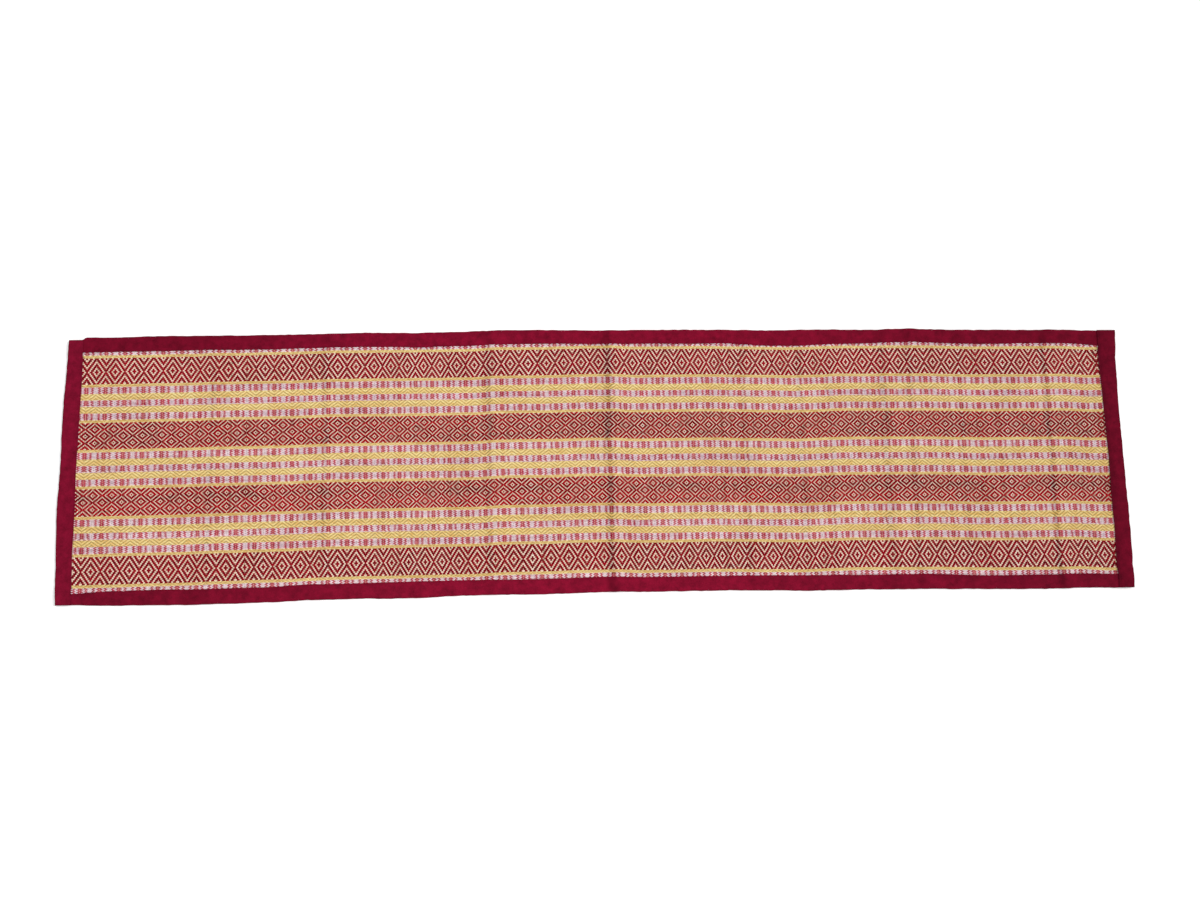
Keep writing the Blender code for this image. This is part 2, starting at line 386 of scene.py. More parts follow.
def add(tree, kind, inputs=None, **settings):
    """A node with its settings, and with each input set to a value or linked to a socket."""
    node = tree.nodes.new("ShaderNode" + kind)
    for name, value in settings.items():
        setattr(node, name, value)
    for name, value in (inputs or {}).items():
        if isinstance(value, bpy.types.NodeSocket):
            tree.links.new(value, node.inputs[name])
        else:
            node.inputs[name].default_value = value
    return node


def new_material(name, **numbers):
    """A material with one shader, whose plain numbers are set on the shader itself."""
    made = bpy.data.materials.new(name)
    made.use_nodes = True
    shader = made.node_tree.nodes["Principled BSDF"]
    for socket, value in numbers.items():
        shader.inputs[socket.replace("_", " ")].default_value = value
    print("material:", name)
    return made, made.node_tree, shader


def noise(tree, place, scale, detail=2.0):
    """A soft random pattern, with a value from 0 to 1 at each place."""
    return add(tree, "TexNoise", {"Vector": place, "Scale": scale, "Detail": detail}).outputs[0]


def coloured(tree, shader, shade, height=None, strength=0.0, distance=0.0):
    """Gives a shader its colour, and small bumps from a height if there is one."""
    tree.links.new(shade, shader.inputs["Base Color"])
    if height is not None:
        bump = add(tree, "Bump", {"Height": height, "Strength": strength, "Distance": distance * MM})
        tree.links.new(bump.outputs[0], shader.inputs["Normal"])


def stored(tree, name):
    """A number that the mesh stores for each vertex."""
    return add(tree, "Attribute", attribute_name=name).outputs["Fac"]


def worked_out(tree, operation, *values):
    """A number from a calculation with one to three values or sockets."""
    return add(tree, "Math", dict(enumerate(values)), operation=operation).outputs[0]


def mixed(tree, share, first, second, blend="MIX"):
    """A mix of two colours."""
    inputs = {0: share, 6: first, 7: second}
    return add(tree, "Mix", inputs, data_type="RGBA", blend_type=blend).outputs[2]


def shaded(tree, shade, **scale):
    """A colour made darker by a number that is first brought to another range."""
    inputs = {socket.replace("_", " "): value for socket, value in scale.items()}
    share = add(tree, "MapRange", inputs).outputs[0]
    return add(tree, "VectorMath", {0: shade, 3: share}, operation="SCALE").outputs[0]


def with_painted_shade(tree, shade, strength):
    """A colour, darkened by the painted shade that the mesh stores for each vertex."""
    return shaded(tree, shade, Value=stored(tree, "dust"), To_Min=1.0, To_Max=1 - strength)


def ramp_of(tree, stops, socket, steps=False):
    """A colour ramp through places from 0 to 1, smooth or in steps."""
    ramp = add(tree, "ValToRGB", {"Fac": socket})
    ramp.color_ramp.interpolation = "CONSTANT" if steps else "LINEAR"
    ramp.color_ramp.elements[0].position, ramp.color_ramp.elements[0].color = stops[0]
    ramp.color_ramp.elements[1].position, ramp.color_ramp.elements[1].color = stops[-1]
    for place, shade in stops[1:-1]:
        ramp.color_ramp.elements.new(place).color = shade
    return ramp


# %% [markdown]
# ## Meshes for many small shapes
# Thousands of reeds and yarns as objects of their own would be slow and heavy. Blender could copy them
# with Geometry Nodes, but each one here has its own length, place and tone, so whole arrays of corners
# are worked out at once and become one mesh for each kind of yarn.
#
# Each mesh also brings a flat map of itself, because a finish can only be stored in an exported model
# through such a map. A piece 1.8 m long and a few centimetres wide would waste a square picture, so
# its length is cut into rows that lie side by side on the map.

# %% Mesh helpers
MAP = "OFBake"

# A face keeps clear of its row's borders by this share of the row, and of the map's sides by another
ROW_MARGIN = 0.02
SIDE_MARGIN = 0.002


def make_piece(name, points, faces, finish):
    """A smooth mesh object from points in millimetres, riding on the mat."""
    mesh = bpy.data.meshes.new(name)
    mesh.from_pydata((np.asarray(points) * MM).tolist(), [], faces)
    mesh.shade_smooth()
    mesh.materials.append(finish)
    piece = placed(name, mesh)
    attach(piece, "root")
    triangles = sum(len(face) - 2 for face in faces)
    print(f"{name}: {triangles} triangles")
    return piece


def add_values(piece, name, values):
    """Stores one number for each vertex, which a material can read."""
    layer = piece.data.attributes.new(name, "FLOAT", "POINT")
    layer.data.foreach_set("value", np.asarray(values, np.float32).ravel())


def end_strip(ring, split):
    """Triangles that close a sheet's end along its curved rim, from its upper row to its lower one.

    The first points of the ring, up to split, are the upper row from far to near.
    """
    upper, lower = list(range(split)), list(range(len(ring) - 1, split - 1, -1))
    i, j, faces = 0, 0, []
    while i + 1 < len(upper) or j + 1 < len(lower):
        upper_next = j + 1 == len(lower)
        if not upper_next and i + 1 < len(upper):
            upper_next = ring[upper[i + 1], 1] > ring[lower[j + 1], 1]
        following = upper[i + 1] if upper_next else lower[j + 1]
        faces.append(sorted([upper[i], lower[j], following]))
        i, j = (i + 1, j) if upper_next else (i, j + 1)
    return faces


def tube(name, sections, finish, map_rows, split=None):
    """One closed body through rings of points, each ring a section of it. Its ends are flat, or strips."""
    rings, size = sections.shape[:2]
    ring, corner = np.meshgrid(np.arange(rings - 1), np.arange(size), indexing="ij")
    ring, corner = ring.ravel(), corner.ravel()
    following = (corner + 1) % size
    quads = np.stack([
        ring * size + corner,
        ring * size + following,
        (ring + 1) * size + following,
        (ring + 1) * size + corner,
    ], 1)
    if split is None:
        first_end = last_end = [list(range(size))]
    else:
        first_end, last_end = end_strip(sections[0], split), end_strip(sections[-1], split)
    ends = [face[::-1] for face in first_end]
    ends += [[(rings - 1) * size + corner for corner in face] for face in last_end]
    piece = make_piece(name, sections.reshape(-1, 3), quads.tolist() + ends, finish)

    # Faces are mapped ring by ring, as wide as they are on average. The ends are tiny and are mapped to
    # two corners of the map.
    in_row = math.ceil((rings - 1) / map_rows)
    row, step = ring // in_row, ring % in_row
    low_u, high_u = step / in_row, (step + 1) / in_row
    sides = np.linalg.norm(np.roll(sections, -1, 1) - sections, axis=2).mean(0)
    walked = np.concatenate([[0], np.cumsum(sides)]) / sides.sum()
    low_v, high_v = walked[corner], walked[corner + 1]
    u = SIDE_MARGIN + (1 - 2 * SIDE_MARGIN) * np.stack([low_u, low_u, high_u, high_u], 1)
    walked_v = np.stack([low_v, high_v, high_v, low_v], 1)
    v = (row[:, None] + ROW_MARGIN + (1 - 2 * ROW_MARGIN) * walked_v) / map_rows
    turns = np.linspace(0, 2 * math.pi, size, endpoint=False)
    cap = np.stack([0.5 + 0.4 * np.cos(turns), 0.5 + 0.4 * np.sin(turns)], 1) * SIDE_MARGIN
    on_ends = [cap[corner] if corner < size else 1 - cap[corner % size] for face in ends for corner in face]
    spots = np.concatenate([np.stack([u, v], 2).reshape(-1, 2), on_ends])
    piece.data.uv_layers.new(name=MAP).data.foreach_set("uv", spots.ravel())
    return piece


# %% [markdown]
# ## The pattern
# A warp yarn lies on top of some reeds and under the others. Which ones is a simple rule, counted in
# reeds from the middle of a diamond. Five rules, each for a kind of stripe, give the whole pattern:
#
# - wide maroon stripes: 16 pairs of yarns make one tall diamond,
# - narrow maroon stripes: 27 yarns make small diamonds set like bricks,
# - pink stripes: a white and a pink yarn share each place and take turns, which gives bars of each,
# - broad yellow stripes: the yarns step over by one reed each, and where they dip a zigzag line of painted
#   shade shows,
# - thin yellow stripes: four such yarns, with shorter dips.

# %% Stripes
# Each kind of stripe on the loom: its width and its number of yarns, and how much of its space a lifted
# yarn fills, because it spreads sideways
Kind = namedtuple("Kind", "width ends spread")
KINDS = {
    "wide_maroon": Kind(46.0, 32, 1.3), "narrow_maroon": Kind(46.0, 27, 1.5),
    "pink": Kind(11.6, 14, 1.9), "middle_pink": Kind(11.6, 14, 1.9), "pink_out": Kind(10.8, 12, 1.9),
    "broad_yellow": Kind(11.2, 8, 1.0), "thin_yellow": Kind(4.9, 4, 0.95),
}

# The stripes from the far side to the near one. The same five lie between all maroon stripes.
PINK_AND_YELLOW = ["pink", "broad_yellow", "middle_pink", "broad_yellow", "pink"]
IN_ORDER = [
    "pink_out", "thin_yellow", "wide_maroon", "thin_yellow", *PINK_AND_YELLOW,
    "thin_yellow", "narrow_maroon", "thin_yellow", *PINK_AND_YELLOW,
    "thin_yellow", "narrow_maroon", "thin_yellow", *PINK_AND_YELLOW,
    "thin_yellow", "wide_maroon", "thin_yellow", "pink_out",
]
FIRST_LINE = 214.8

# The cloth is a little looser towards its near side: at that rim a stripe is wider by this share
LOOSER = 0.017
Stripe = namedtuple("Stripe", "kind far near")


def stripes_from(far):
    """Every stripe with its far and its near line, one after the other."""
    stripes = []
    for kind in IN_ORDER:
        width = KINDS[kind].width
        near = far - width * (1 - LOOSER * (far - width / 2) / HALF_WIDTH)
        stripes.append(Stripe(kind, far, near))
        far = near
    return stripes


STRIPES = stripes_from(FIRST_LINE)


def from_diamond(reed):
    """How many reeds a reed is from the middle of its diamond, from 0 to 8."""
    return abs((reed + REPEAT // 2) % REPEAT - REPEAT // 2)


def small_diamond_row(end):
    """How far a narrow stripe's yarn is from the nearest row where diamonds touch."""
    away = abs(end - 13)
    return 8 - min(away, 14 - away)


# Four yarns of a pink stripe, two to a place: the yarn, how far from the middle of a diamond the reeds
# are that it covers, and how far it is pushed towards the middle of its place
PINK_CYCLE = [
    ("white", (1, 2, 5, 6), 0.4), ("pink", (3, 4, 7, 8), -0.4),
    ("white", (0, 1, 4, 5), 0.4), ("pink", (2, 3, 6, 7), -0.4),
]

# A middle pink stripe ends in this many maroon yarns
MAROON_EDGE_ENDS = 1


def on_top(kind, end, reeds):
    """The colour of a stripe's yarn, its push, and at which reeds it lies on top."""
    away = from_diamond(reeds)
    if kind == "wide_maroon":
        return "maroon_pairs", 0.0, (away + abs(end // 2 - 8)) % 4 < 2
    if kind == "narrow_maroon":
        return "maroon", 0.0, (away + small_diamond_row(end)) % 4 < 2
    if kind == "thin_yellow":
        return "thin_yellow", 0.0, (away - end) % 4 < 3
    if kind == "broad_yellow":
        return "broad_yellow", 0.0, (away - end) % 4 < 2
    if kind == "middle_pink" and end >= KINDS[kind].ends - MAROON_EDGE_ENDS:
        return "maroon", 0.0, np.isin(away, (1, 2, 5, 6))
    yarn, covered, push = PINK_CYCLE[end % 4]
    return yarn, push, np.isin(away, covered)


# In the middle of a pink stripe's white blocks, two yarns dip between the reeds and leave a dot of painted
# shade
DOT_ENDS = (4, 8)


def dipped(kind, end, reeds):
    """At which reeds a yarn can be seen dipping between the reeds. It is drawn there in painted shade."""
    if kind in ("broad_yellow", "thin_yellow"):
        return ~on_top(kind, end, reeds)[2]
    if kind in ("pink", "middle_pink"):
        return (from_diamond(reeds) == 0) & (end in DOT_ENDS)
    return np.zeros(len(reeds), bool)


print("stripes:", len(STRIPES), "yarns:", sum(KINDS[stripe.kind].ends for stripe in STRIPES))

# %% [markdown]
# ## The underside
# The photograph doesn't show it. A yarn that isn't on top of a reed runs below it, so the back of the
# cloth is the reverse of its front. Floats there would double the mesh for a side that lies on the
# floor, so the yarns are drawn on the sheet as colour, with the pattern's own rules as shader nodes.

# %% Underside
UNDER_YARN_PITCH = 1.4

# The yarns on the underside, for each colour of stripe: those under the reeds that are bare above, and
# those under the others. None means bare grass.
UNDER_YARNS = {
    "maroon": (None, "#780614"), "pink": ("#D8B8C4", "#A83448"), "yellow": ("#C89C50", "#E8C478"),
}

# In a maroon stripe, how many reeds the rows of the diamond have moved, at the yarns where that turns
UNDER_TURNS = {
    "wide_maroon": [(0, 8), (16, 0), (32, 8)],
    "narrow_maroon": [(0, 7.5), (6.5, 1), (13.5, 8), (20.5, 1), (27, 7.5)],
}


def across_share(line):
    """A distance from the middle line as a share of the cloth's width, from the near side."""
    return (line + HALF_WIDTH) / (2 * HALF_WIDTH)


def under_ramps(tree, share):
    """Three ramps across the cloth: the yarns below bare reeds, those below covered ones, and the turns.

    The first one's alpha is 0 in maroon stripes, and the second one's is 0 in yellow stripes.
    """
    bare_stops, covered_stops, turn_stops = [], [], []
    for stripe in reversed(STRIPES):
        place = across_share(stripe.near)
        of_stripe = next(name for name in UNDER_YARNS if name in stripe.kind)
        bare, covered = UNDER_YARNS[of_stripe]
        bare_stops.append((place, (0, 0, 0, 0) if bare is None else colour(bare)))
        covered_stops.append((place, (*colour(covered)[:3], 0 if of_stripe == "yellow" else 1)))
        for end, moved in UNDER_TURNS.get(stripe.kind, []):
            line = stripe.near + end * (stripe.far - stripe.near) / KINDS[stripe.kind].ends
            turn_stops.append((across_share(line), (*[moved / (REPEAT / 2)] * 3, 1)))
    bare, covered = (ramp_of(tree, stops, share, steps=True) for stops in (bare_stops, covered_stops))
    return bare, covered, ramp_of(tree, turn_stops, share)


def underside_pattern(tree, grass_colour):
    """The reverse of the weave as colour. A yarn runs below the reeds where it doesn't lie on top."""
    line, reed = stored(tree, "line"), stored(tree, "reed")
    across = {"Value": line, "From Min": -HALF_WIDTH, "From Max": HALF_WIDTH}
    bare, covered, turns = under_ramps(tree, add(tree, "MapRange", across).outputs[0])

    # Diamonds in maroon stripes, a slant in yellow ones, straight bars in pink ones
    diamond = worked_out(tree, "SUBTRACT", 1.0, bare.outputs["Alpha"])
    slant = worked_out(tree, "SUBTRACT", 1.0, covered.outputs["Alpha"])
    row = worked_out(tree, "MULTIPLY", turns.outputs[0], REPEAT / 2)
    yarn = worked_out(tree, "DIVIDE", line, UNDER_YARN_PITCH)
    away = worked_out(tree, "PINGPONG", reed, REPEAT / 2)
    moved = worked_out(tree, "MULTIPLY_ADD", row, diamond, away)
    moved = worked_out(tree, "MULTIPLY_ADD", yarn, slant, moved)
    turn = worked_out(tree, "FLOORED_MODULO", moved, 4.0)
    below = worked_out(tree, "GREATER_THAN", turn, 2.0)
    plain = mixed(tree, bare.outputs["Alpha"], grass_colour, bare.outputs[0])
    woven = mixed(tree, below, plain, covered.outputs[0])

    # A line of painted shade between each yarn and the next
    from_gap = worked_out(tree, "PINGPONG", line, UNDER_YARN_PITCH / 2)
    return shaded(tree, woven, Value=from_gap, From_Max=0.3, To_Min=0.6)


# %% [markdown]
# ## The grass
# The reeds are split stems of a dried grass, straw-coloured and a little glossy, with a few greener or
# browner ones among them. Packed side by side they make a ribbed sheet. Here it is one closed sheet with
# a crest along each reed and a valley between two, as thick as the CAD's panel and as wide as that.

# %% Grass material
REED_TONES = [(0.0, "#8A8068"), (0.18, "#C4AA94"), (0.45, "#ECCAB6"), (0.8, "#FCDCCA"), (1.0, "#FFF0E4")]

# The width and length of the fibres along a reed, and how strongly they darken it
FIBRE = 0.45
FIBRE_LENGTH = 26.0
FIBRE_SHADE = 0.75
# How dark the valleys between reeds get, a painted shade with some dirt, and how strongly the creases'
# painted shade darkens the grass
GAP_SHADE = 0.5
PAINTED_SHADE_ON_GRASS = 0.4


def reed_grass():
    """Dried split reed: straw tones that differ from stem to stem, with fine fibres along each."""
    made, tree, shader = new_material("dried_reed_grass", Roughness=0.6, Specular_IOR_Level=0.3)
    tones = ramp_of(tree, [(place, colour(code)) for place, code in REED_TONES], stored(tree, "reed_tone"))
    place = add(tree, "TexCoord").outputs["Object"]
    scale = (1 / (FIBRE * MM), 1 / (FIBRE_LENGTH * MM), 200.0)
    stretched = add(tree, "Mapping", {"Vector": place, "Scale": scale}).outputs[0]
    fibres = noise(tree, stretched, 1.0, 3.0)
    fibre_shade = mixed(tree, fibres, colour("#C9BEAA"), colour("#FFFFFF"))
    stem = mixed(tree, FIBRE_SHADE, tones.outputs[0], fibre_shade, "MULTIPLY")
    # The valleys between reeds get painted shade with some dirt, and the creases get painted shade
    stem = shaded(tree, stem, Value=stored(tree, "crest"), From_Max=0.7, To_Min=GAP_SHADE)
    seen = mixed(tree, stored(tree, "under"), stem, underside_pattern(tree, stem))
    coloured(tree, shader, with_painted_shade(tree, seen, PAINTED_SHADE_ON_GRASS), fibres, strength=0.35, distance=0.1)
    return made


# %% Grass sheet
RIM_INSET = 1.3
CLOTH_THICK = 2.0
REED_RELIEF = 0.42
EASES_FROM = 872.0

# Points across the sheet, on top and below: how far in from each rim, and how many evenly between
SIDE_COLUMNS, MIDDLE_COLUMNS = [0.0, 10.0, 22.0, 26.0, 30.0, 35.0, 42.0], 10
UNDER_SIDE_COLUMNS, UNDER_COLUMNS = [0.0, 35.0], 3


def smooth_step(value, low, high):
    """0 below low, 1 above high, and a soft rise between them."""
    share = np.clip((value - low) / (high - low), 0, 1)
    return share * share * (3 - 2 * share)


def laid(x, y):
    """Where a reed's place is in X. Reeds lean, but the last few centimetres ease over to the tapes."""
    x = leaning(x, y)
    left = line_of("left", "fold", y) + RIM_INSET
    right = line_of("right", "fold", y) - RIM_INSET
    ease_left, ease_right = (smooth_step(side * x, EASES_FROM, HALF_LENGTH) for side in (-1, 1))
    return x * (1 - ease_left - ease_right) + left * ease_left + right * ease_right


def cloth_columns(x, count_middle, side_columns):
    """Places across the mat at each reed, from the far rim to the near one."""
    far = line_of("far", "fold", laid(x, HALF_WIDTH)) - RIM_INSET
    near = line_of("near", "fold", laid(x, -HALF_WIDTH)) + RIM_INSET
    columns = [far - inset for inset in side_columns]
    inner_far, inner_near = far - side_columns[-1], near + side_columns[-1]
    shares = np.arange(1, count_middle + 1) / (count_middle + 1)
    columns += [inner_far * (1 - share) + inner_near * share for share in shares]
    columns += [near + inset for inset in reversed(side_columns)]
    return np.array(columns).T


def grass_sheet(finish):
    """The whole cloth as one closed sheet, two rows of faces to a reed."""
    reeds = np.arange(FIRST_REED - 0.5, LAST_REED + 1.0, 0.5)
    x = reed_x(reeds)
    x[0], x[-1] = -HALF_LENGTH - 0.5, HALF_LENGTH + 0.5
    crest = np.where(reeds % 1 == 0, REED_RELIEF, 0.0)
    top_y = cloth_columns(x, MIDDLE_COLUMNS, SIDE_COLUMNS)
    under_y = cloth_columns(x, UNDER_COLUMNS, UNDER_SIDE_COLUMNS)[:, ::-1]
    parts = []
    for y, facing in ((top_y, 1), (under_y, -1)):
        at = laid(x[:, None], y)
        middle = cloth_top(at, y) - (0 if facing > 0 else CLOTH_THICK)
        z = middle - facing * (REED_RELIEF - crest[:, None])
        parts.append(np.stack([at, y, z], 2))
    sections = np.concatenate(parts, 1)
    sheet = tube("woven_grass", sections, finish, map_rows=4, split=top_y.shape[1])

    # What the material reads: each reed's tone, its painted crease shade, its crest, its number and where a
    # yarn lies
    tone = np.random.default_rng(11).beta(4.0, 2.2, len(reeds))
    tone[1::2] = tone[0:-1:2]
    size = sections.shape[1]
    add_values(sheet, "reed_tone", np.repeat(tone, size))
    add_values(sheet, "dust", crease_painted_shade(sections[:, :, 0], sections[:, :, 1]))
    add_values(sheet, "crest", np.repeat(crest / REED_RELIEF, size))
    add_values(sheet, "reed", np.repeat(reeds, size))
    add_values(sheet, "line", sections[:, :, 1] - bend_at(x, 0.5)[:, None])
    add_values(sheet, "under", np.tile(np.arange(size) >= top_y.shape[1], len(x)))
    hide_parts("woven_panel")
    return sheet


grass = grass_sheet(reed_grass())

# %% [markdown]
# ## The yarns on top
# Where a yarn lies on top of one or more reeds it shows as a short raised float. Each float is a small
# closed pillow: a low edge all round that is sunk between the reeds, and a rounded ridge over them.

# %% Floats from the pattern
HIDDEN_UNDER_TAPE = 2.0
LONGEST_FLOAT = 4
Floats = namedtuple("Floats", "start end line half_width yarn_number dip")


def stretches(lifted):
    """Where each unbroken stretch of a row of flags starts and ends, with long ones cut in equal parts."""
    steps = np.diff(np.concatenate([[0], lifted.astype(int), [0]]))
    starts, ends = np.flatnonzero(steps == 1), np.flatnonzero(steps == -1)
    cuts = []
    for start, end in zip(starts, ends):
        marks = np.linspace(start, end, math.ceil((end - start) / LONGEST_FLOAT) + 1)
        cuts += zip(marks[:-1], marks[1:])
    return np.array(cuts).T


def lay_out():
    """All floats of the mat, sorted by yarn."""
    reeds = np.arange(FIRST_REED, LAST_REED + 1)
    found = {}
    yarn_number = 0
    for stripe in STRIPES:
        kind = KINDS[stripe.kind]
        pitch = (stripe.far - stripe.near) / kind.ends
        for end in range(kind.ends):
            yarn, push, lifted = on_top(stripe.kind, end, reeds)
            line = stripe.far - (end + 0.5) * pitch - push

            # The two outermost stripes mirror each other
            if stripe.kind == "pink_out" and stripe.far > 0:
                line = stripe.near + (end + 0.5) * pitch + push
            width = kind.spread * pitch / 2
            for dip, flags in ((0, lifted), (1, dipped(stripe.kind, end, reeds))):
                if not flags.any():
                    continue
                first, last = stretches(flags)
                rows = [first + FIRST_REED - 0.5, last + FIRST_REED - 0.5]
                rows += [np.full(len(first), value) for value in (line, width, yarn_number, dip)]
                found.setdefault(yarn, []).append(rows)
            yarn_number += 1
    return {yarn: Floats(*np.concatenate(rows, 1)) for yarn, rows in found.items()}


def in_sight(floats):
    """The floats that aren't hidden under a tape."""
    x, y = on_mat((floats.start + floats.end) / 2, floats.line)
    kept = np.ones(len(x), bool)
    for side, tape in TAPES.items():
        along, across = (x, y) if tape.axis == 0 else (y, x)
        kept &= tape.outward * (across - line_of(side, "edge", along)) < HIDDEN_UNDER_TAPE
    return Floats(*(values[kept] for values in floats))


all_floats = {yarn: in_sight(floats) for yarn, floats in lay_out().items()}
for yarn, floats in all_floats.items():
    print(f"{yarn}: {len(floats.start)} floats, {len(floats.start) * 8} triangles")

# %% Pillows
TONES = 64
TONES_A_SIDE = 8

# The ridge starts this many half widths in from each end, but at most this share of the length
RIDGE_START = 0.6
RIDGE_START_SHORT = 0.3


def pillows(name, start, end, half_width, base, crest, tone, finish, slot):
    """Many small closed bodies in one mesh, each a ridge along its length over a sunk edge.

    start and end are points on the middle line at the height of the cloth. base is how deep the edge
    is sunk and crest how high the ridge rises. tone runs from 0 to 1.
    """
    run = end - start
    length = np.hypot(run[:, 0], run[:, 1])[:, None]
    side = np.stack([-run[:, 1], run[:, 0], 0 * run[:, 0]], 1) / length * half_width[:, None]
    up = np.array([0, 0, 1.0])
    shoulder = np.minimum(RIDGE_START_SHORT, RIDGE_START * half_width[:, None] / length)
    corners = np.stack([
        start + side - up * base,
        start - side - up * base,
        end - side - up * base,
        end + side - up * base,
        start + run * shoulder + up * crest[:, None],
        end - run * shoulder + up * crest[:, None],
    ], 1)
    first = np.arange(len(start))[:, None] * 6
    quads = [[0, 1, 2, 3], [0, 3, 5, 4], [2, 1, 4, 5]]
    ends = [[1, 0, 4], [3, 2, 5]]
    faces = [first + np.array(face) for face in quads + ends]
    faces = sum((face.tolist() for face in faces), [])
    piece = make_piece(name, corners.reshape(-1, 3), faces, finish)

    # The map is a board of small squares, one for each tone, and each body fills the square of its
    # tone. Bodies that share a square look exactly alike, so nothing is lost by sharing.
    level = np.clip((tone * TONES).astype(int), 0, TONES - 1)
    add_values(piece, "tone", np.repeat((level + 0.5) / TONES, 6))
    across = np.array([0.1, 0.9, 0.9, 0.1, 0.5, 0.5])
    along = np.array([0.1, 0.1, 0.9, 0.9, 0.3, 0.7])
    u = (level[:, None] % TONES_A_SIDE + across) / TONES_A_SIDE
    v = (level[:, None] // TONES_A_SIDE + along) / TONES_A_SIDE
    spots = np.stack([u, v], 2).reshape(-1, 2)
    vertex = np.empty(len(piece.data.loops), int)
    piece.data.loops.foreach_get("vertex_index", vertex)
    piece.data.uv_layers.new(name=MAP).data.foreach_set("uv", spots[vertex].ravel())
    return piece


# %% [markdown]
# ## Cotton yarn
# The warp is dyed cotton, spun from short fibres, so it is matt. Two strands twist round each other,
# which shows as slanting lines. Each yarn took the dye a little differently, and it drifts along the mat
# as well. All of that is one tone for each float. A ramp makes a colour of it, through two dyes and, below
# them, a painted shade colour for dips and creases.

# %% Yarn material
TWISTS = 3.0
TWIST_SHADE = 0.6
LOWEST_DYE = 0.3

# A wave texture of scale 1 has this many waves in a unit
WAVES = 20 / math.tau


def cotton_yarn(name, shade, deep, pale):
    """Spun, dyed cotton: its slanting twist, and a tone between two dyes, or below them towards a painted
    shade colour.
    """
    made, tree, shader = new_material(name, Roughness=0.9, Specular_IOR_Level=0.12)
    stops = [(0.0, colour(shade)), (LOWEST_DYE, colour(deep)), (1.0, colour(pale))]
    dyed = ramp_of(tree, stops, stored(tree, "tone")).outputs[0]
    spot = add(tree, "UVMap", uv_map=MAP).outputs[0]
    scale = TONES_A_SIDE * TWISTS / WAVES
    twist = add(tree, "TexWave", {"Vector": spot, "Scale": scale}, bands_direction="DIAGONAL")
    lines = mixed(tree, twist.outputs[1], colour("#D8D8D8"), colour("#FFFFFF"))
    coloured(tree, shader, mixed(tree, TWIST_SHADE, dyed, lines, "MULTIPLY"))
    return made


# %% Warp floats
FLOAT_BASE = 0.03
DIP_DEPTH = 0.45
# How far dips and creases darken a float's tone, into its painted shade colour
DIP_SHADE = 0.8
PAINTED_SHADE_ON_YARN = 0.5
WIDTH_RANGE = (0.93, 1.07)
CREST_RANGE = (0.85, 1.2)

# A float's tone: the middle one, and how much it differs from yarn to yarn, in long and short patches,
# and from float to float
MIDDLE_TONE = 0.68
YARN_SPREAD, LONG_PATCHES, SHORT_PATCHES, FLOAT_SPREAD = 0.1, 0.1, 0.08, 0.12
MOST_YARNS = 400

# Each yarn's piece, its painted shade colour, its deepest and its palest dye, how high its floats rise, and
# how many reeds further than their last ones they reach. Most yarns have the same two of these.
Yarn = namedtuple("Yarn", "name shade deep pale crest overlap", defaults=(0.45, 0.32))
YARNS = {
    "maroon_pairs": Yarn("wide_maroon_warp", "#46030D", "#5E020C", "#9E0B1D"),
    "maroon": Yarn("narrow_maroon_warp", "#400008", "#5E0008", "#A80818", 0.32, 0.25),
    "broad_yellow": Yarn("broad_yellow_warp", "#9A8246", "#ECC06E", "#FFF0B0"),
    "thin_yellow": Yarn("thin_yellow_warp", "#7A602E", "#DAAC5A", "#FDE8A4"),
    "white": Yarn("white_warp", "#6E7068", "#CEAEBA", "#FAE8EE"),
    "pink": Yarn("pink_warp", "#6A1828", "#982038", "#D25264"),
}


def yarn_tones(floats, x, y, rng):
    """A tone for each float, from its yarn, its place and a little chance. Dips and creases get painted
    shade.
    """
    yarn = rng.normal(0, YARN_SPREAD, MOST_YARNS)[floats.yarn_number.astype(int)]
    place = LONG_PATCHES * hills(x, y, 60, 40, seed=21) + SHORT_PATCHES * hills(x, y, 9, 9, seed=22)
    dyed = MIDDLE_TONE + yarn + place + rng.normal(0, FLOAT_SPREAD, len(x))
    shade = 1 - DIP_SHADE * floats.dip
    return np.clip(np.clip(dyed, LOWEST_DYE, 1) * shade - PAINTED_SHADE_ON_YARN * crease_painted_shade(x, y), 0, 0.999)


def warp_floats(yarn, floats, seed):
    """One piece with all the floats of a yarn."""
    rng = np.random.default_rng(seed)
    ends = []
    for reed, further in ((floats.start, -yarn.overlap), (floats.end, yarn.overlap)):
        x, y = on_mat(reed + further, floats.line)
        ends.append(np.stack([x, y, cloth_top(x, y)], 1))
    middle = (ends[0] + ends[1]) / 2

    # Over a sharp crease the straight line between the ends would cut through the reeds
    above = np.clip(cloth_top(middle[:, 0], middle[:, 1]) - middle[:, 2], 0, None)
    for end in ends:
        end[:, 2] += above
    width = floats.half_width * rng.uniform(*WIDTH_RANGE, len(middle))
    crest = yarn.crest * rng.uniform(*CREST_RANGE, len(middle)) * (1 - DIP_DEPTH * floats.dip)
    tone = yarn_tones(floats, middle[:, 0], middle[:, 1], rng)
    finish = cotton_yarn(yarn.name + "_cotton_yarn", yarn.shade, yarn.deep, yarn.pale)
    return pillows(yarn.name, *ends, width, FLOAT_BASE, crest, tone, finish, "woven_grass")


for number, (key, yarn) in enumerate(YARNS.items()):
    warp_floats(yarn, all_floats[key], seed=30 + number)

# %% [markdown]
# ## The tapes
# The binding is a plain cotton tape, folded lengthwise over the side of the mat and sewn through. It
# bulges at the fold, sinks under the row of stitches near its inner edge, and puckers a little there,
# because the thread is pulled tighter than the cloth. Each tape is swept through sections: one section
# every 3 mm, whose points follow the outline measured above.

# %% Tape sections
TAPE_THICK = 0.8
SEAM_INSET = 2.2

